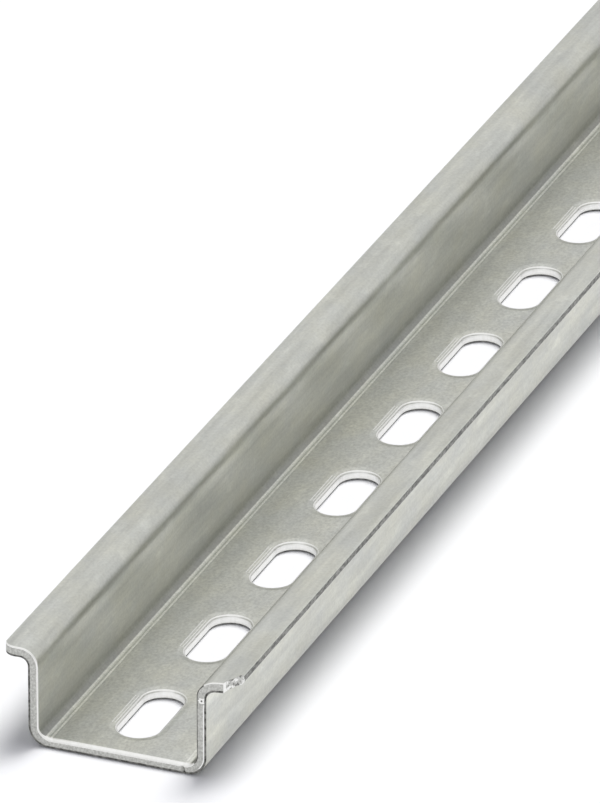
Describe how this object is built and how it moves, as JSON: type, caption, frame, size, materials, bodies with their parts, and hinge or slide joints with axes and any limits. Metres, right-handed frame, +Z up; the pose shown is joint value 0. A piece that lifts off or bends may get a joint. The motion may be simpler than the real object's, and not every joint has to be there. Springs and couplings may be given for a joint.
{
  "type": "perforated top-hat mounting rail",
  "caption": "Straight zinc-plated steel top-hat rail with outward flanges and a row of slots down its base, for clipping wiring devices onto a panel.",
  "frame": {"origin": "middle of the underside of the base, halfway along the rail", "axes": "+X across the rail, +Y along it, +Z up from the base to the flanges"},
  "size_m": [0.035, 1, 0.015],
  "materials": {
    "zinc_plated_steel": "bright zinc plating over rolled steel strip, satin with faint rolling lines"
  },
  "bodies": {
    "root": {"rail": "zinc_plated_steel"}
  },
  "joints": []
}
